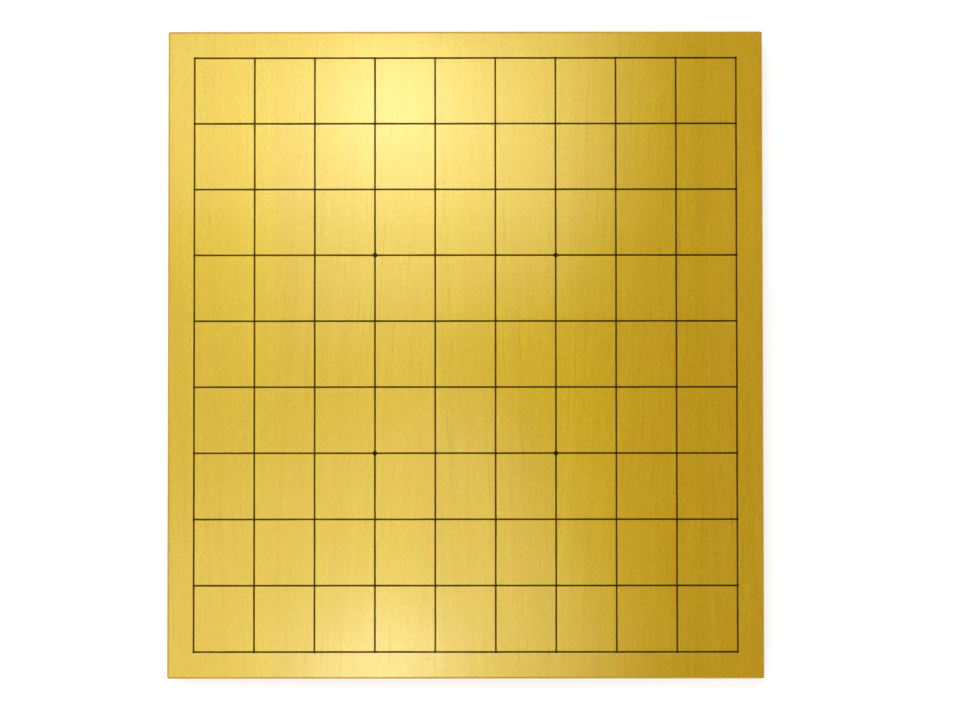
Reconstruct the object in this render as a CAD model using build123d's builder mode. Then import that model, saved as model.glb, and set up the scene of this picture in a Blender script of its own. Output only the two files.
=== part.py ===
from build123d import *
import os

# Tabletop shogi board
# Five quarter-sawn planks are glued edge to edge, planed flat and eased along every outer edge.
# Black lacquer beads on top mark the grid of squares, and four lacquer dots mark the promotion zones.
# Millimetres, +Z up. The origin is the centre of the underside. +X runs along the ranks to the right,
# and +Y runs along the files, away from the player.

# Planks, from the left edge of the board to the right
plank_1_width = 60.4
plank_2_width = 80.9
plank_3_width = 73.4
plank_4_width = 86.9
plank_5_width = 31.0

# Board
board_length = 362.0
board_thickness = 30.0
glue_thickness = 0.1
edge_round = 1.0

# Squares
files = 9
ranks = 9
promotion_ranks = 3
side_margin = 14.85
end_margin = 14.95

# Lacquer: the rank lines are laid second, over the file lines, so they stand higher
file_line_width = 1.0
file_line_height = 0.12
rank_line_width = 1.02
rank_line_height = 0.18
star_diameter = 2.7
star_height = 0.30
star_shoulder = 0.5

# Sizes that follow from those above
plank_widths = [plank_1_width, plank_2_width, plank_3_width, plank_4_width, plank_5_width]
board_width = sum(plank_widths) + glue_thickness * (len(plank_widths) - 1)
grid_width = board_width - 2 * side_margin
grid_length = board_length - 2 * end_margin
file_pitch = grid_width / files
rank_pitch = grid_length / ranks
top_face = Plane.XY.offset(board_thickness)


def make_plank(left, width, at_left_edge, at_right_edge):
    """A plank with its left side at x = left. Edges on the outside of the board are rounded."""
    with BuildPart() as plank:
        with BuildSketch(Plane.XY):
            with Locations((left + width / 2, 0)):
                Rectangle(width, board_length)
        extrude(amount=board_thickness)
        outer_edges = plank.edges().filter_by(Axis.X)
        if at_left_edge:
            outer_edges += plank.faces().sort_by(Axis.X)[0].edges()
        if at_right_edge:
            outer_edges += plank.faces().sort_by(Axis.X)[-1].edges()
        fillet(outer_edges, radius=edge_round)
    return plank


def make_glue_line(left):
    """A film of glue with its left face at x = left, flush with the planks on all four sides."""
    with BuildPart() as glue:
        with BuildSketch(Plane.YZ.offset(left)):
            with Locations((0, board_thickness / 2)):
                RectangleRounded(board_length, board_thickness, edge_round)
        extrude(amount=glue_thickness)
    return glue


def half_dome(diameter, height):
    """Half of a low dome's section: a flat base from the axis to the rim, and an arc up to the top."""
    rim = (diameter / 2, 0)
    top = (0, height)
    arc_radius = (diameter**2 / 4 + height**2) / (2 * height)
    with BuildSketch() as section:
        with BuildLine():
            Line((0, 0), rim)
            RadiusArc(rim, top, -arc_radius)
            Line(top, (0, 0))
        make_face()
    return section.sketch


def make_bead(start, end, width, height):
    """A lacquer bead on the top face: a low dome in section, with round ends centred on start and end."""
    run = Vector(*end) - Vector(*start)
    across = Vector(run.Y, -run.X).normalized()
    start_section = Plane(top_face.from_local_coords(start), x_dir=across, z_dir=-run)
    end_section = Plane(top_face.from_local_coords(end), x_dir=across, z_dir=-run)
    with BuildPart() as bead:
        with BuildSketch(start_section):
            add(half_dome(width, height))
            mirror(about=Plane.YZ)
        extrude(amount=-run.length)
        for section in (start_section, end_section):
            with BuildSketch(section):
                add(half_dome(width, height))
            revolve(axis=Axis(section.origin, (0, 0, 1)))
    return bead


def make_star_point(centre):
    """A lacquer dot on the top face: round, flat in the middle, with a shoulder that rolls down to the wood."""
    section = Plane(top_face.from_local_coords(centre), x_dir=(1, 0, 0), z_dir=(0, -1, 0))
    rim = (star_diameter / 2, 0)
    shoulder_top = (star_diameter / 2 - star_shoulder, star_height)
    shoulder_radius = (star_shoulder**2 + star_height**2) / (2 * star_height)
    with BuildPart() as dot:
        with BuildSketch(section):
            with BuildLine():
                Line((0, 0), rim)
                RadiusArc(rim, shoulder_top, -shoulder_radius)
                Polyline(shoulder_top, (0, star_height), (0, 0))
            make_face()
        revolve(axis=Axis(section.origin, (0, 0, 1)))
    return dot


def write(piece, name):
    """Label a finished piece and write its file."""
    piece.part.label = name
    export_step(piece.part, f"parts/{name}.step")
    print(name, round(piece.part.volume, 3))


os.makedirs("parts", exist_ok=True)

# Planks and the glue between them
left = -board_width / 2
last = len(plank_widths)
for number, width in enumerate(plank_widths, start=1):
    write(make_plank(left, width, number == 1, number == last), f"plank_{number}")
    left += width
    if number < last:
        write(make_glue_line(left), f"glue_line_{number}")
        left += glue_thickness

# File lines, from left to right
file_places = [-grid_width / 2 + index * file_pitch for index in range(files + 1)]
rank_places = [-grid_length / 2 + index * rank_pitch for index in range(ranks + 1)]
file_lines = []
for number, x in enumerate(file_places, start=1):
    file_line = make_bead((x, rank_places[0]), (x, rank_places[-1]), file_line_width, file_line_height)
    file_lines.append(file_line)
    write(file_line, f"file_line_{number}")

# Rank lines, from near to far, each passing over the file lines
rank_lines = []
for number, y in enumerate(rank_places, start=1):
    with BuildPart() as rank_line:
        add(make_bead((file_places[0], y), (file_places[-1], y), rank_line_width, rank_line_height).part)
        for file_line in file_lines:
            add(file_line.part, mode=Mode.SUBTRACT)
    rank_lines.append(rank_line)
    write(rank_line, f"rank_line_{number}")

# Star points, on the inner corners of the promotion zones, over the crossing lines
number = 0
for rank_index in (promotion_ranks, ranks - promotion_ranks):
    for file_index in (promotion_ranks, files - promotion_ranks):
        number += 1
        with BuildPart() as star_point:
            add(make_star_point((file_places[file_index], rank_places[rank_index])).part)
            add(file_lines[file_index].part, mode=Mode.SUBTRACT)
            add(rank_lines[rank_index].part, mode=Mode.SUBTRACT)
        write(star_point, f"star_point_{number}")
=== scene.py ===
import math

import bpy
import numpy as np
from mathutils import Matrix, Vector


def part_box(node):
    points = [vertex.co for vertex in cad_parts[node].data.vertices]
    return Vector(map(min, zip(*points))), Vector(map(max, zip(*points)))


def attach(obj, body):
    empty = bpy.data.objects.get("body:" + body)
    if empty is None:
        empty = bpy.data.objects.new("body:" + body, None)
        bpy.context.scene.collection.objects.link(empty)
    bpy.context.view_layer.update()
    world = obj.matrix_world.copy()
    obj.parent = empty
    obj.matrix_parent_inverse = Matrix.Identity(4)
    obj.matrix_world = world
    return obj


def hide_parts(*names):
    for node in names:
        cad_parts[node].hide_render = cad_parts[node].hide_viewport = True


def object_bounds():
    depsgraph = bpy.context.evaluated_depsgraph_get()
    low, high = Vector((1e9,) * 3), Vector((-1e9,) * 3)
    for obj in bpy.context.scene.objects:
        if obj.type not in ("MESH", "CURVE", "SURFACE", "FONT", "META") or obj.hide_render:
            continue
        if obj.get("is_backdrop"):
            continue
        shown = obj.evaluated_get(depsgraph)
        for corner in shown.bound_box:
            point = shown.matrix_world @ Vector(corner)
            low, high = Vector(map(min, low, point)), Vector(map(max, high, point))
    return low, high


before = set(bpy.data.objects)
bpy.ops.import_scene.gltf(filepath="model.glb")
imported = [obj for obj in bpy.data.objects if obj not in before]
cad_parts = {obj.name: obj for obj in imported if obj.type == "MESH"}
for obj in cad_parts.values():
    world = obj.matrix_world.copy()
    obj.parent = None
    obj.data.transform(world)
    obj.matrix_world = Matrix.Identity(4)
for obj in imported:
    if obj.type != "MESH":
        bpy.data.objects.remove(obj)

# Shogi board: the looks of a tabletop board made of five planks, seen from straight above
# Metres. The origin is the centre of the underside, +X runs along the ranks to the right, +Y runs along
# the files away from the player, and +Z points up through the playing face.

MM = 0.001
cad_low, cad_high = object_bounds()


# Sizes read from the frame
def middle(name, axis):
    """The middle of a node's box along an axis: 0 for x, 1 for y."""
    low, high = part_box(name)
    return (low[axis] + high[axis]) / 2


plank_names = [f"plank_{number}" for number in range(1, 6)]
glue_names = [f"glue_line_{number}" for number in range(1, 5)]
file_names = [f"file_line_{number}" for number in range(1, 11)]
rank_names = [f"rank_line_{number}" for number in range(1, 11)]
star_names = [f"star_point_{number}" for number in range(1, 5)]
half_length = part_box("plank_1")[1][1]
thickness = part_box("plank_1")[1][2]
file_places = [middle(name, 0) for name in file_names]
rank_places = [middle(name, 1) for name in rank_names]

# Eased edges, worn unevenly. Beside each runs a narrow row of faces that keeps the flats shaded flat
edge_round = 1.0 * MM
edge_wear = 0.12 * MM
edge_wear_length = 70 * MM
edge_wear_seed = 1
support = 0.1 * MM
flat_corner = 0.4 * MM
sharp_angle = 50

# Points of a plank or glue film: round each corner, along the length and the thickness, and across
corner_points = 9
long_points = 91
short_points = 9
slice_width = 4 * MM
end_leans = (0, 11, 22, 34, 45, 56, 68, 79, 89)

# Lacquer lines: their width and middle wander a little, and they widen into pools where they cross
file_line_width = 1.0 * MM
file_line_height = 0.12 * MM
rank_line_width = 1.02 * MM
rank_line_height = 0.18 * MM
width_wander = 0.05
width_wander_length = 45 * MM
side_wander = 0.03 * MM
side_wander_length = 90 * MM
pool_width = 0.28 * MM
pool_reach = 0.6 * MM
line_points = 91
pool_points = 13
across_points = 11
end_turns = (15, 30, 45, 60, 75)

# Lacquer dots
star_diameter = 2.7 * MM
star_height = 0.30 * MM
star_shoulder = 0.5 * MM
star_sink = 0.02 * MM
rim_wander = 0.02
round_points = 48
shoulder_points = 8

# Camera: looks straight down at the board from a little nearer the player
camera_place = (10.3 * MM, -30.7 * MM, 1230.0 * MM)
camera_turn = (1.306, 0.103, -0.048)
camera_data = bpy.data.cameras.new("camera")
camera_data.lens = 80.53
camera_data.clip_end = 50.0
camera = bpy.data.objects.new("camera", camera_data)
camera.location = camera_place
camera.rotation_euler = [math.radians(turn) for turn in camera_turn]
bpy.context.collection.objects.link(camera)
bpy.context.scene.camera = camera
bpy.context.scene.view_settings.view_transform = "Standard"

# Numbers of the Mix node's sockets for colours, which share their names with others
MIX_A = 6
MIX_B = 7
MIX_RESULT = 2


# Colours and nodes
def linear(hex_colour, tint=(1.0, 1.0, 1.0)):
    """An sRGB hex colour as linear red, green, blue and alpha. tint scales each of the three colours."""
    channels = [int(hex_colour[start:start + 2], 16) / 255 for start in (1, 3, 5)]
    channels = [c / 12.92 if c <= 0.04045 else ((c + 0.055) / 1.055) ** 2.4 for c in channels]
    return [channel * share for channel, share in zip(channels, tint)] + [1.0]


def add(tree, kind, settings=None, links=None):
    """Adds a node, sets its properties and inputs, and links its inputs.

    An input goes by its name, or by its number where several inputs share a name.
    """
    node = tree.nodes.new(kind)
    for name, value in (settings or {}).items():
        if isinstance(name, str) and hasattr(node, name):
            setattr(node, name, value)
        else:
            node.inputs[name].default_value = value
    for name, source in (links or {}).items():
        tree.links.new(source, node.inputs[name])
    return node


def new_material(name):
    """An empty node material."""
    material = bpy.data.materials.new(name)
    material.use_nodes = True
    material.node_tree.nodes.clear()
    return material


# Shapes
def uneven(distance, longest, seed):
    """Slow unevenness from -1 to 1 along a distance.

    It is the sum of three sine waves, each shorter and lower than the last, and each moved by the seed.
    """
    steps = (1.0, 2.3, 4.1)
    turns = [2 * math.pi * step * distance / longest + seed * step * 1.7 for step in steps]
    waves = [np.sin(turn) / step for turn, step in zip(turns, steps)]
    return sum(waves) / sum(1 / step for step in steps)


def shell(name, rings, first_pole, last_pole, material, **marks):
    """A closed mesh from an array of rings, (rings, points round a ring, 3).

    Points j and j + 1 of ring i make a four-sided face with the same two of ring i + 1, and each end
    closes on its pole with a fan of triangles. marks are float attributes, one array of (rings, points)
    each.
    """
    count, around = rings.shape[:2]
    here = np.arange(count * around).reshape(count, around)
    after = np.roll(here, -1, axis=1)
    sides = np.stack([here[:-1], after[:-1], after[1:], here[1:]], axis=-1).reshape(-1, 4)
    first = count * around
    last = first + 1
    first_fan = np.stack([after[0], here[0], np.full(around, first)], axis=-1)
    last_fan = np.stack([here[-1], after[-1], np.full(around, last)], axis=-1)
    points = np.concatenate([rings.reshape(-1, 3), [first_pole], [last_pole]])
    mesh = bpy.data.meshes.new(name)
    mesh.from_pydata(points.tolist(), [], sides.tolist() + first_fan.tolist() + last_fan.tolist())
    for mark, values in marks.items():
        ends = [values[0].mean(), values[-1].mean()]
        attribute = mesh.attributes.new(mark, "FLOAT", "POINT")
        attribute.data.foreach_set("value", np.concatenate([values.ravel(), ends]).astype(np.float32))
    mesh.shade_smooth()
    mesh.set_sharp_from_angle(angle=math.radians(sharp_angle))
    mesh.materials.append(material)
    piece = bpy.data.objects.new(name, mesh)
    bpy.context.collection.objects.link(piece)
    return piece


def stand_for(piece, node):
    """The piece rides on the board and hides the CAD node."""
    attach(piece, "root")
    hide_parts(node)


def block(name, left, right, round_left, round_right, material):
    """A slice of the eased board between two values of x.

    The board is a box swollen by the edge radius: a point is a place on the smaller core box plus the
    radius times the outward normal. One parameter goes round the core's outline in y and z, and turns
    the normal at its corners. The other goes across the slice in x, and leans the normal along x at a
    rounded end, where a smaller ring of the same outline closes the flat. Where the normal points
    between two faces, wear takes a little more off, unevenly along the edge.
    """
    core_y = half_length - edge_round
    core_z = thickness / 2 - edge_round
    turns = np.radians(np.linspace(0, 90, corner_points))
    long_steps = np.linspace(support - core_y, core_y - support, long_points)
    short_steps = np.linspace(support - core_z, core_z - support, short_points)
    outline = []
    corners = ((1, 1), (-1, 1), (-1, -1), (1, -1))
    for quarter, (sign_y, sign_z) in enumerate(corners):
        before = quarter * math.pi / 2
        beyond = (quarter + 1) * math.pi / 2
        outline += [(sign_y * core_y, sign_z * core_z, before + turn) for turn in turns]
        if quarter % 2 == 0:
            outline += [(-sign_y * step, sign_z * core_z, beyond) for step in long_steps]
        else:
            outline += [(sign_y * core_y, -sign_z * step, beyond) for step in short_steps]
    core_of_y, core_of_z, angle = np.array(outline).T

    # Slices near an end: how far in from it, how far the normal leans, and how much the core shrinks
    square_end = [(0.0, 0.0, 0.0)]
    round_end = [(edge_round, lean, 0.0) for lean in end_leans]
    round_end += [(0.0, end_leans[-1], support + flat_corner)]
    left_end = round_end if round_left else square_end
    right_end = round_end if round_right else square_end
    margin = min(support, (right - left) / 4)
    inner_left = left + edge_round * round_left + margin
    inner_right = right - edge_round * round_right - margin
    steps = max(2, round((right - left) / slice_width))
    slices = [(left + inset, -lean, shrink) for inset, lean, shrink in left_end[::-1]]
    slices += [(place, 0.0, 0.0) for place in np.linspace(inner_left, inner_right, steps + 1)]
    slices += [(right - inset, lean, shrink) for inset, lean, shrink in right_end]
    core_of_x, lean, shrink = np.array(slices).T
    lean = np.radians(lean)
    flat_end = shrink > 0

    normal = np.stack(
        [
            np.sin(lean)[:, None] * np.ones_like(angle),
            np.cos(lean)[:, None] * np.cos(angle),
            np.cos(lean)[:, None] * np.sin(angle),
        ],
        axis=-1,
    )
    core = np.stack(
        [
            core_of_x[:, None] * np.ones_like(angle),
            core_of_y * (1 - shrink / core_y)[:, None],
            core_of_z * (1 - shrink / core_z)[:, None],
        ],
        axis=-1,
    )

    # From 0 on a face to 1 halfway round the edge between two faces
    between_faces = (1 - np.abs(normal).max(axis=-1)) / (1 - math.sqrt(0.5))
    between_faces = np.where(flat_end[:, None], 0.0, between_faces)
    in_flat = np.stack([np.zeros_like(angle), np.cos(angle), np.sin(angle)], axis=-1)
    rings = core + np.where(flat_end[:, None, None], flat_corner * in_flat, edge_round * normal)
    along_edge = rings[..., 0] + rings[..., 1]
    wear_share = 0.5 + 0.5 * uneven(along_edge, edge_wear_length, edge_wear_seed)
    worn = edge_wear * between_faces * wear_share
    rings = rings - worn[..., None] * normal
    rings[..., 2] += thickness / 2
    poles = [(left, 0.0, thickness / 2), (right, 0.0, thickness / 2)]
    marks = {
        "eased": np.sqrt(np.clip(between_faces, 0, 1)),
        "upright": 1 - normal[..., 2] ** 2,
        "end_grain": normal[..., 1] ** 2,
    }
    return shell(name, rings, *poles, material, **marks)


def bead(name, start, end, width, height, crossings, seed, material):
    """A lacquer bead from start to end on the playing face, with round ends.

    One parameter runs along the bead and the other across it. The section is an arc of a circle that
    rises to height over its width. Past an end's centre, at distance d, a point at distance x from the
    middle has the height that the arc has at the root of d * d + x * x. The width wanders a little, the
    middle line too, and the lacquer has pooled where lines cross.
    """
    start = np.array(start)
    end = np.array(end)
    length = np.linalg.norm(end - start)
    run = (end - start) / length
    across = np.array([run[1], -run[0]])

    # Places along the bead, closer at the crossings, and rounded so that each counts once
    near_crossing = np.linspace(-2.0, 2.0, pool_points) * pool_reach
    places = [np.linspace(0, length, line_points)]
    places += [crossing + near_crossing for crossing in crossings]
    places = np.unique(np.clip(np.concatenate(places), 0, length).round(6))
    turns = np.radians(end_turns)
    overshoot = np.concatenate([np.sin(turns[::-1]), np.zeros_like(places), np.sin(turns)])
    places = np.concatenate([np.zeros_like(turns), places, np.full_like(turns, length)])
    pooled = np.exp(-(((places[:, None] - np.array(crossings)) / pool_reach) ** 2)).sum(axis=1)
    widening = 1 + width_wander * uneven(places, width_wander_length, seed)
    half = width / 2 * widening + pool_width / 2 * pooled
    wander = side_wander * uneven(places, side_wander_length, seed + 3)
    beyond = overshoot * half
    section = np.sin(np.radians(np.linspace(-90, 90, across_points)))
    sideways = np.sqrt(half**2 - beyond**2)[:, None] * section
    radius = (half**2 + height**2) / (2 * height)
    squared = sideways**2 + beyond[:, None] ** 2
    rise = np.sqrt(radius[:, None] ** 2 - squared) - (radius - height)[:, None]
    outward = np.where(places < length / 2, -1, 1) * beyond
    line_middle = start + run * (places + outward)[:, None] + across * wander[:, None]
    flat = line_middle[:, None, :] + across * sideways[..., None]
    rings = np.concatenate([flat, (thickness + np.maximum(rise, 0))[..., None]], axis=-1)
    poles = []
    for sign, index in ((-1, 0), (1, -1)):
        tip = (start, end)[index] + run * sign * half[index] + across * wander[index]
        poles.append((*tip, thickness))
    return shell(name, rings, *poles, material, pooled=pooled[:, None] * np.ones_like(sideways))


def dot(name, centre, seed, material):
    """A lacquer dot on a crossing: a profile turned about the crossing, with a slightly uneven rim.

    The profile runs out along the wood to the rim, up a rolled shoulder and in to a middle that has
    sunk a little in drying. Along it, out is the distance from the axis as a share of the rim's, and up
    is the height. The other parameter is the angle round the dot.
    """
    radius = star_diameter / 2
    angle = np.linspace(0, 2 * math.pi, round_points, endpoint=False)
    rim = radius * (1 - rim_wander + rim_wander * np.cos(2 * angle + seed) * np.cos(angle + 2 * seed))
    roll = np.radians(np.linspace(0, 90, shoulder_points))
    inner = 1 - star_shoulder / radius
    shoulder = inner + (1 - inner) * np.cos(roll)
    out = np.concatenate([[0.6], shoulder, inner * np.array([0.8, 0.55, 0.3])])
    sunk = star_height - star_sink * np.array([0.3, 0.7, 1.0])
    up = np.concatenate([[0.0], star_height * np.sin(roll), sunk])
    rings = np.stack(
        [
            centre[0] + out[:, None] * rim * np.cos(angle),
            centre[1] + out[:, None] * rim * np.sin(angle),
            thickness + up[:, None] * np.ones_like(angle),
        ],
        axis=-1,
    )
    poles = [(*centre, thickness), (*centre, thickness + star_height - star_sink)]
    return shell(name, rings, *poles, material, pooled=np.ones(rings.shape[:2]))


# Materials
# Softwood under a satin clear lacquer: a warm yellow wood with straight, quiet grain, whose sheen takes
# the wood's own colour because the light goes into the fibres before it comes back
wood_pale = "#b8901f"
wood_dark = "#9c7306"
wood_orange = "#af7a17"
late_wood_brown = "#85551a"
fleck_dark = "#88560f"
# Paler edge colour: partly worn lacquer, partly a painted highlight against the shade of the rounding
worn_edge_highlight = "#deae54"
end_brown = "#9a7030"
satin_finish = {
    "Specular IOR Level": 0.66,
    "Specular Tint": (1.0, 0.935, 0.016, 1.0),
    "Coat Weight": 0.36,
    "Coat Roughness": 0.146,
}
wood_roughness = 0.265
vein_roughness = 0.03
side_roughness = 0.25

# Grain sizes, across and along the fibres. A real fibre is about 0.03 mm wide, too fine to show, so
# fibres are drawn in bundles as wide as a point of the picture
grain_sizes = {
    "grit": (1.0 * MM, 2.0 * MM),
    "fibre": (1.2 * MM, 7.0 * MM),
    "vein": (1.4 * MM, 60.0 * MM),
    "band": (5.0 * MM, 260.0 * MM),
    "patch": (7.0 * MM, 34.0 * MM),
    "dark_fleck": (0.7 * MM, 5.0 * MM),
}
grain_weights = {"grit": 0.95, "fibre": 0.45, "vein": 0.42, "band": 0.42}
vein_relief = 0.5
grain_relief = 0.012 * MM

# The grain wanders sideways by a millimetre or two over a hand's length
wander_size = (45 * MM, 150 * MM, 45 * MM)
wander_reach = (4 * MM, 0, 4 * MM)

# How far apart the planks and the grain sizes lie in the noise, in metres, so that no two are alike
wander_shift = 1.0
plank_shift = 0.31
size_shift = 0.47

# What shows only where a noise is high: which noise, from where, full from where, how much, and the rise
high_shares = {
    "orange": ("patch", 0.35, 0.65, 0.32, "LINEAR"),
    "top_ring": ("patch", 0.4, 0.65, 0.05, "LINEAR"),
    "fleck": ("dark_fleck", 0.68, 0.8, 0.22, "SMOOTHSTEP"),
}

# Growth rings darken slowly to late wood and end sharply. They drift in width and show most on the ends
ring_spacing = 2.1 * MM
ring_drift = 3.0
ring_drift_size = 9 * MM
late_wood_full = 0.78
late_wood_end = 0.97
side_ring_share = 0.3
end_ring_share = 0.2

# End grain drinks the lacquer and turns browner. The eased edges are painted paler: partly worn lacquer,
# partly a painted highlight that lifts the shade of the rounding
end_brown_share = 0.3
worn_edge_highlight_share = 0.65


def plank_wood(number, centre, lean, tint, heart, dip, fan):
    """Quarter-sawn softwood with straight grain, and growth rings about a heart line.

    lean is the angle of the grain from the board's length, tint scales the plank's colour, and heart is
    the heart line's place in metres in x and z. dip is how far the fibres under the lacquer slope in x
    and y, and fan is how much more they slope in x for each metre to the right. Angles are in degrees.
    """
    material = new_material(f"satin_lacquered_softwood_{number}")
    tree = material.node_tree
    place = add(tree, "ShaderNodeTexCoord").outputs["Object"]
    turn = (0, 0, -math.radians(lean))
    turned = add(
        tree,
        "ShaderNodeMapping",
        {"vector_type": "TEXTURE", "Location": (centre, 0, 0), "Rotation": turn},
        {"Vector": place},
    ).outputs[0]
    slow = add(
        tree,
        "ShaderNodeMapping",
        {"vector_type": "TEXTURE", "Scale": wander_size, "Location": (number * wander_shift, 0, 0)},
        {"Vector": turned},
    ).outputs[0]
    wander = add(tree, "ShaderNodeTexNoise", {"Scale": 1.0, "Detail": 1.0}, {"Vector": slow})
    grain = add(
        tree,
        "ShaderNodeVectorMath",
        {"operation": "MULTIPLY_ADD", 1: wander_reach},
        {0: wander.outputs["Color"], 2: turned},
    ).outputs[0]

    noises = {}
    for order, (size, (across, along)) in enumerate(grain_sizes.items()):
        shift = (number * plank_shift, order * size_shift, 0)
        cell = add(
            tree,
            "ShaderNodeMapping",
            {"vector_type": "TEXTURE", "Scale": (across, along, across), "Location": shift},
            {"Vector": grain},
        ).outputs[0]
        noise = add(tree, "ShaderNodeTexNoise", {"Scale": 1.0, "Detail": 1.0}, {"Vector": cell})
        noises[size] = noise.outputs["Fac"]
    shares = {}
    for use, (size, start, full, most, rise) in high_shares.items():
        settings = {"interpolation_type": rise, "From Min": start, "From Max": full, "To Max": most}
        share = add(tree, "ShaderNodeMapRange", settings, {"Value": noises[size]})
        shares[use] = share.outputs[0]

    # Growth rings: the distance from the heart line, counted in rings whose width drifts
    from_heart = add(
        tree,
        "ShaderNodeVectorMath",
        {"operation": "MULTIPLY_ADD", 1: (1, 0, 1), 2: (-heart[0], 0, -heart[1])},
        {0: grain},
    ).outputs[0]
    length = add(tree, "ShaderNodeVectorMath", {"operation": "LENGTH"}, {0: from_heart})
    drift_place, counted = [
        add(
            tree, "ShaderNodeMath", {"operation": "MULTIPLY", 1: 1 / size}, {0: length.outputs["Value"]}
        ).outputs[0]
        for size in (ring_drift_size, ring_spacing)
    ]
    drift = add(
        tree, "ShaderNodeTexNoise", {"noise_dimensions": "1D", "Scale": 1.0}, {"W": drift_place}
    ).outputs["Fac"]
    uneven_count = add(
        tree, "ShaderNodeMath", {"operation": "MULTIPLY_ADD", 1: ring_drift}, {0: drift, 2: counted}
    ).outputs[0]
    phase = add(tree, "ShaderNodeMath", {"operation": "FRACT"}, {0: uneven_count}).outputs[0]
    ring_node = add(tree, "ShaderNodeValToRGB", {}, {"Fac": phase})
    ramp = ring_node.color_ramp
    ramp.elements[0].color = (0, 0, 0, 1)
    ramp.elements[1].position = late_wood_full
    ramp.elements[1].color = (1, 1, 1, 1)
    ramp.elements.new(late_wood_end).color = (0, 0, 0, 1)
    late_wood = ring_node.outputs["Color"]

    # Tone, from 0 for the darkest wood to 1 for the palest
    tone_start = add(tree, "ShaderNodeValue")
    tone_start.outputs[0].default_value = 0.5 - 0.5 * sum(grain_weights.values())
    tone = tone_start.outputs[0]
    for size, weight in grain_weights.items():
        tone = add(
            tree, "ShaderNodeMath", {"operation": "MULTIPLY_ADD", 1: weight}, {0: noises[size], 2: tone}
        ).outputs[0]
    colour = add(
        tree,
        "ShaderNodeMix",
        {"data_type": "RGBA", MIX_A: linear(wood_dark, tint), MIX_B: linear(wood_pale, tint)},
        {"Factor": tone},
    ).outputs[MIX_RESULT]

    # Rings come and go faintly on top, where the saw met them square, and are plainer on sides and ends
    eased, upright, end_grain = [
        add(tree, "ShaderNodeAttribute", {"attribute_name": mark}).outputs["Fac"]
        for mark in ("eased", "upright", "end_grain")
    ]
    ring_strength = shares["top_ring"]
    for mark, more in ((upright, side_ring_share), (end_grain, end_ring_share)):
        ring_strength = add(
            tree, "ShaderNodeMath", {"operation": "MULTIPLY_ADD", 1: more}, {0: mark, 2: ring_strength}
        ).outputs[0]
    ring_share = add(
        tree, "ShaderNodeMath", {"operation": "MULTIPLY"}, {0: late_wood, 1: ring_strength}
    ).outputs[0]
    end_share, edge_highlight_share = [
        add(tree, "ShaderNodeMath", {"operation": "MULTIPLY", 1: most}, {0: mark}).outputs[0]
        for mark, most in ((end_grain, end_brown_share), (eased, worn_edge_highlight_share))
    ]
    # The pale edge layer is partly wear and partly a painted highlight that lifts the shade of the
    # rounding
    layers = (
        (wood_orange, shares["orange"]),
        (late_wood_brown, ring_share),
        (fleck_dark, shares["fleck"]),
        (end_brown, end_share),
        (worn_edge_highlight, edge_highlight_share),
    )
    for layer, share in layers:
        colour = add(
            tree,
            "ShaderNodeMix",
            {"data_type": "RGBA", MIX_B: linear(layer, tint)},
            {"Factor": share, MIX_A: colour},
        ).outputs[MIX_RESULT]

    rough = add(
        tree,
        "ShaderNodeMath",
        {"operation": "MULTIPLY_ADD", 1: vein_roughness, 2: wood_roughness},
        {0: noises["vein"]},
    ).outputs[0]
    rough = add(
        tree, "ShaderNodeMath", {"operation": "MULTIPLY_ADD", 1: side_roughness}, {0: upright, 2: rough}
    ).outputs[0]
    relief = add(
        tree,
        "ShaderNodeMath",
        {"operation": "MULTIPLY_ADD", 1: vein_relief},
        {0: noises["vein"], 2: noises["fibre"]},
    ).outputs[0]
    bump = add(tree, "ShaderNodeBump", {"Strength": 1.0, "Distance": grain_relief}, {"Height": relief})

    # Each plank's fibres slope their own way, so its sheen lies a little aside from its neighbours'
    middle_slope = (math.radians(dip[0] - fan * centre), math.radians(dip[1]), 0)
    slope = add(
        tree,
        "ShaderNodeVectorMath",
        {"operation": "MULTIPLY_ADD", 1: (math.radians(fan), 0, 0), 2: middle_slope},
        {0: place},
    ).outputs[0]
    sloped = add(
        tree, "ShaderNodeVectorMath", {"operation": "ADD"}, {0: bump.outputs[0], 1: slope}
    ).outputs[0]
    normal = add(tree, "ShaderNodeVectorMath", {"operation": "NORMALIZE"}, {0: sloped}).outputs[0]
    wood = add(
        tree,
        "ShaderNodeBsdfPrincipled",
        satin_finish,
        {"Base Color": colour, "Roughness": rough, "Normal": normal},
    )
    add(tree, "ShaderNodeOutputMaterial", {}, {"Surface": wood.outputs[0]})
    return material


# A coat of glue or lacquer is never quite even
coat_roughness_range = 0.2
coat_relief = 0.01 * MM


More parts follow.
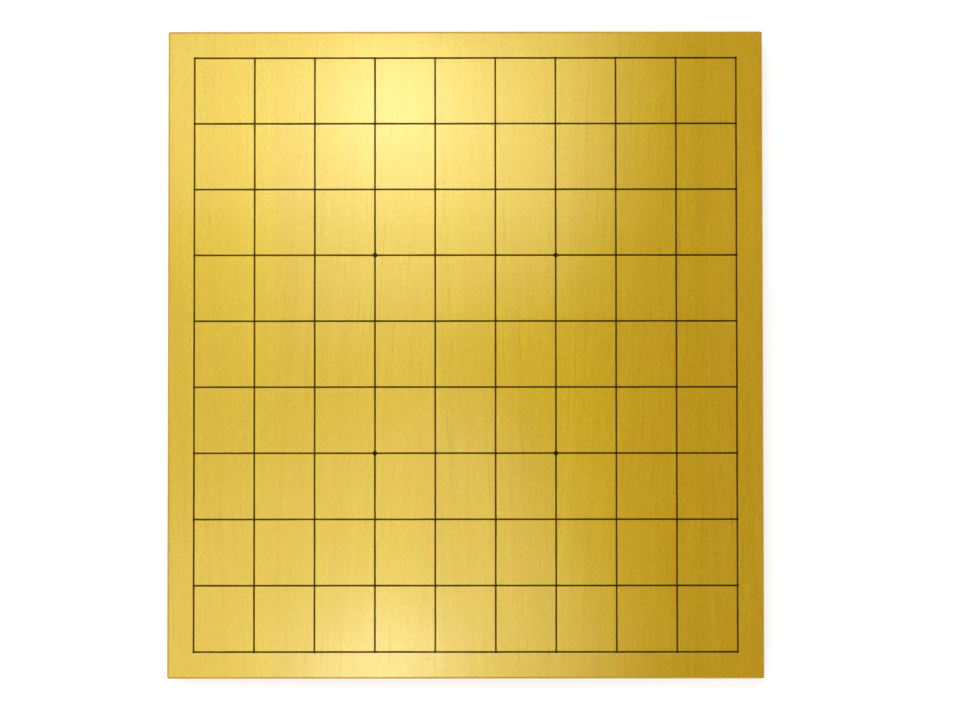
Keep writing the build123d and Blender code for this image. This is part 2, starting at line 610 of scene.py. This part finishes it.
def mottled_coat(name, cell_size, detail, colours, roughness, finish, pool_colour=None):
    """A coat that one noise mottles: in colour, in roughness from the one given upwards, and in height.

    Where a piece is marked as pooled, pool_colour takes over. finish holds the shader's own settings.
    """
    material = new_material(name)
    tree = material.node_tree
    place = add(tree, "ShaderNodeTexCoord").outputs["Object"]
    cell = add(
        tree, "ShaderNodeMapping", {"vector_type": "TEXTURE", "Scale": cell_size}, {"Vector": place}
    ).outputs[0]
    mottle = add(tree, "ShaderNodeTexNoise", {"Scale": 1.0, "Detail": detail}, {"Vector": cell})
    noise = mottle.outputs["Fac"]
    colour = add(
        tree,
        "ShaderNodeMix",
        {"data_type": "RGBA", MIX_A: linear(colours[0]), MIX_B: linear(colours[1])},
        {"Factor": noise},
    ).outputs[MIX_RESULT]
    if pool_colour:
        pooled = add(tree, "ShaderNodeAttribute", {"attribute_name": "pooled"}).outputs["Fac"]
        colour = add(
            tree,
            "ShaderNodeMix",
            {"data_type": "RGBA", MIX_B: linear(pool_colour)},
            {"Factor": pooled, MIX_A: colour},
        ).outputs[MIX_RESULT]
    rough = add(
        tree,
        "ShaderNodeMath",
        {"operation": "MULTIPLY_ADD", 1: coat_roughness_range, 2: roughness},
        {0: noise},
    ).outputs[0]
    bump = add(tree, "ShaderNodeBump", {"Strength": 1.0, "Distance": coat_relief}, {"Height": noise})
    coat = add(
        tree,
        "ShaderNodeBsdfPrincipled",
        finish,
        {"Base Color": colour, "Roughness": rough, "Normal": bump.outputs[0]},
    )
    add(tree, "ShaderNodeOutputMaterial", {}, {"Surface": coat.outputs[0]})
    return material


# Dried wood glue in a joint, planed flush and lacquered with the wood: amber and a little darker
glue_cell = (2 * MM, 9 * MM, 2 * MM)
glue_colours = ("#8f6f24", "#ab8830")
glue_roughness = 0.3
glue_look = (glue_cell, 2.0, glue_colours, glue_roughness)
glue_material = mottled_coat("dried_wood_glue", *glue_look, satin_finish)

# Dark lacquer laid on the wood by hand: thinner and browner at places, nearly black in pools. The thick
# dots dried duller than the lines
lacquer_cell = (3 * MM, 3 * MM, 3 * MM)
lacquer_colours = ("#281606", "#3e2606")
lacquer_pool = "#100703"
lacquer_roughness = 0.25
lacquer_look = (lacquer_cell, 3.0, lacquer_colours, lacquer_roughness)
line_finish = {"IOR": 1.5, "Specular IOR Level": 0.26, "Specular Tint": (1.0, 0.72, 0.1, 1.0)}
dot_finish = line_finish | {"Specular IOR Level": 0.08}
line_material = mottled_coat("raised_dark_lacquer", *lacquer_look, line_finish, lacquer_pool)
dot_material = mottled_coat("thick_dull_lacquer", *lacquer_look, dot_finish, lacquer_pool)

# Planks: the lean of the grain, the tint, the heart line, and the fibres' dip and fan, from left to right
plank_grain = [
    (-2.0, (1.02, 1.01, 0.95), (-150 * MM, -50 * MM), (0.1, 0.1), 0.0),
    (3.0, (1.0, 1.0, 1.0), (120 * MM, 75 * MM), (-0.9, -0.6), 0.0),
    (-2.0, (0.99, 0.99, 1.0), (-105 * MM, 60 * MM), (-0.4, -0.2), -6.0),
    (2.5, (0.98, 0.98, 0.98), (170 * MM, -65 * MM), (-0.45, -0.6), 10.0),
    # The fifth plank's raised blue is a painted reflection: it pales the plank as a whiter sheen on the
    # right would
    (-1.8, (0.99, 0.99, 1.3), (-130 * MM, 80 * MM), (-1.1, 0.5), -25.0),
]
for number, (name, grain) in enumerate(zip(plank_names, plank_grain), start=1):
    low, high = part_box(name)
    wood = plank_wood(number, middle(name, 0), *grain)
    is_first = name == plank_names[0]
    is_last = name == plank_names[-1]
    plank = block(f"board_{name}", low[0], high[0], is_first, is_last, wood)
    stand_for(plank, name)

# Glue between the planks
for name in glue_names:
    low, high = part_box(name)
    film = block(f"board_{name}", low[0], high[0], False, False, glue_material)
    stand_for(film, name)

# Lacquer lines and dots
file_crossings = [place - rank_places[0] for place in rank_places]
rank_crossings = [place - file_places[0] for place in file_places]
file_section = (file_line_width, file_line_height)
rank_section = (rank_line_width, rank_line_height)
for seed, (name, x) in enumerate(zip(file_names, file_places), start=1):
    ends = ((x, rank_places[0]), (x, rank_places[-1]))
    line = bead(f"board_{name}", *ends, *file_section, file_crossings, seed, line_material)
    stand_for(line, name)
for seed, (name, y) in enumerate(zip(rank_names, rank_places), start=21):
    ends = ((file_places[0], y), (file_places[-1], y))
    line = bead(f"board_{name}", *ends, *rank_section, rank_crossings, seed, line_material)
    stand_for(line, name)
for seed, name in enumerate(star_names, start=41):
    star = dot(f"board_{name}", (middle(name, 0), middle(name, 1)), seed, dot_material)
    stand_for(star, name)


# Stage
# Matt white board that looks white to the camera and in reflections, and keeps the object's shadow. To
# these it is a glow, strongest far out, over darker paint, so the shadow stays soft
floor_paint = ("#dddcda", "#e1e0de")
floor_paint_seen = "#b4b3b1"
floor_mottle = 9.0
floor_glow = {"From Min": 0.4, "From Max": 3.0, "To Min": 0.64, "To Max": 1.0}
floor_finish = {"Roughness": 0.9, "Specular IOR Level": 0.0, "Emission Color": (1, 1, 1, 1)}


def pale_floor():
    """The floor's paint. It is clear to a camera that looks from below, so the underside can be seen."""
    material = new_material("matt_white_floor")
    tree = material.node_tree
    path = add(tree, "ShaderNodeLightPath")
    seen = path.outputs["Is Camera Ray"]
    for ray in ("Is Glossy Ray", "Is Transmission Ray"):
        seen = add(
            tree, "ShaderNodeMath", {"operation": "MAXIMUM"}, {0: seen, 1: path.outputs[ray]}
        ).outputs[0]
    place = add(tree, "ShaderNodeTexCoord").outputs["Object"]
    reach = add(tree, "ShaderNodeVectorMath", {"operation": "LENGTH"}, {0: place}).outputs["Value"]
    far_glow = add(tree, "ShaderNodeMapRange", floor_glow, {"Value": reach}).outputs[0]
    glow = add(tree, "ShaderNodeMath", {"operation": "MULTIPLY"}, {0: far_glow, 1: seen}).outputs[0]
    mottle = add(tree, "ShaderNodeTexNoise", {"Scale": floor_mottle}, {"Vector": place}).outputs["Fac"]
    colour = add(
        tree,
        "ShaderNodeMix",
        {"data_type": "RGBA", MIX_A: linear(floor_paint[0]), MIX_B: linear(floor_paint[1])},
        {"Factor": mottle},
    ).outputs[MIX_RESULT]
    colour = add(
        tree,
        "ShaderNodeMix",
        {"data_type": "RGBA", MIX_B: linear(floor_paint_seen)},
        {"Factor": seen, MIX_A: colour},
    ).outputs[MIX_RESULT]
    white = add(
        tree, "ShaderNodeBsdfPrincipled", floor_finish, {"Base Color": colour, "Emission Strength": glow}
    ).outputs[0]
    clear = add(tree, "ShaderNodeBsdfTransparent").outputs[0]
    below = add(tree, "ShaderNodeNewGeometry").outputs["Backfacing"]
    from_below = add(
        tree, "ShaderNodeMath", {"operation": "MULTIPLY"}, {0: below, 1: path.outputs["Is Camera Ray"]}
    ).outputs[0]
    surface = add(tree, "ShaderNodeMixShader", {}, {0: from_below, 1: white, 2: clear}).outputs[0]
    add(tree, "ShaderNodeOutputMaterial", {}, {"Surface": surface})
    return material


# The floor is open under the board, whose flat underside covers the opening
floor_reach = 9.0
floor_drop = 0.3 * MM
opening = (cad_high[0] - edge_round, cad_high[1] - edge_round)
corner_signs = np.array([(-1, -1), (1, -1), (1, 1), (-1, 1)])
floor_points = np.zeros((8, 3))
floor_points[:4, :2] = corner_signs * opening
floor_points[4:, :2] = corner_signs * floor_reach
floor_points[:, 2] = -floor_drop
floor_faces = [(side, side + 4, (side + 1) % 4 + 4, (side + 1) % 4) for side in range(4)]
floor_mesh = bpy.data.meshes.new("floor")
floor_mesh.from_pydata(floor_points.tolist(), [], floor_faces)
floor_mesh.materials.append(pale_floor())
floor = bpy.data.objects.new("floor", floor_mesh)
bpy.context.collection.objects.link(floor)
floor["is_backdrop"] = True

# Lamps: soft boxes over the board that face it. Place, width and depth in mm, turn in degrees, watts
soft_boxes = {
    "far_box": ((-70, 255, 1510), (350, 330), -9.0, 2.2),
    "near_box": ((-220, -610, 3215), (217, 330), 39.0, 6.35),
    "far_middle_box": ((-180, 380, 1400), (715, 353), 1.0, 3.9),
    "near_left_box": ((-250, -370, 1815), (800, 480), -20.0, 7.25),
    "left_box": ((-405, 215, 1445), (725, 755), -11.0, 4.8),
    "far_spot": ((-130, 475, 2370), (160, 185), 12.0, 1.95),
}

# Four low lamps light the sides. They stay out of the gloss, or the face looks white from low down
wall_lamps = {
    "right_wall": ((1300, -150, 220), (1400, 400), 0.0, 5.8),
    "near_wall": ((150, -1300, 220), (1400, 400), 0.0, 4.8),
    "far_wall": ((150, 1300, 220), (1400, 400), 0.0, 4.2),
    "left_wall": ((-1300, 0, 220), (1400, 400), 0.0, 3.6),
}


def soft_box(name, place, size, turn, watts, in_gloss):
    """A rectangular lamp that faces the origin. Its depth lies along the board before turn is put on."""
    lamp_data = bpy.data.lights.new(name, "AREA")
    lamp_data.shape = "RECTANGLE"
    lamp_data.size = size[0] * MM
    lamp_data.size_y = size[1] * MM
    lamp_data.energy = watts
    back = np.array(place) / np.linalg.norm(place)
    side = np.cross((0, 1, 0), back)
    side /= np.linalg.norm(side)
    depth = np.cross(back, side)
    cosine = math.cos(math.radians(turn))
    sine = math.sin(math.radians(turn))
    axes = np.eye(4)
    axes[:3, 0] = cosine * side - sine * depth
    axes[:3, 1] = sine * side + cosine * depth
    axes[:3, 2] = back
    axes[:3, 3] = np.array(place) * MM
    lamp = bpy.data.objects.new(name, lamp_data)
    lamp.matrix_world = Matrix(axes.tolist())
    lamp.visible_glossy = in_gloss
    bpy.context.collection.objects.link(lamp)


for name, settings in soft_boxes.items():
    soft_box(name, *settings, True)
for name, settings in wall_lamps.items():
    soft_box(name, *settings, False)

# World: a room that grows evenly brighter from overhead to underfoot, and is white to the camera
room_light = {"From Min": -1.0, "From Max": 1.0, "To Min": 1.0, "To Max": 0.05}
world = bpy.data.worlds.new("studio")
world.use_nodes = True
room = world.node_tree
room.nodes.clear()
direction = add(room, "ShaderNodeTexCoord").outputs["Object"]
height = add(room, "ShaderNodeSeparateXYZ", {}, {"Vector": direction}).outputs["Z"]
light = add(room, "ShaderNodeMapRange", room_light, {"Value": height}).outputs[0]
path = add(room, "ShaderNodeLightPath")
strength = add(
    room, "ShaderNodeMath", {"operation": "MAXIMUM"}, {0: light, 1: path.outputs["Is Camera Ray"]}
).outputs[0]
background = add(room, "ShaderNodeBackground", {"Color": (1, 1, 1, 1)}, {"Strength": strength})
add(room, "ShaderNodeOutputWorld", {}, {"Surface": background.outputs[0]})
bpy.context.scene.world = world

low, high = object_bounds()
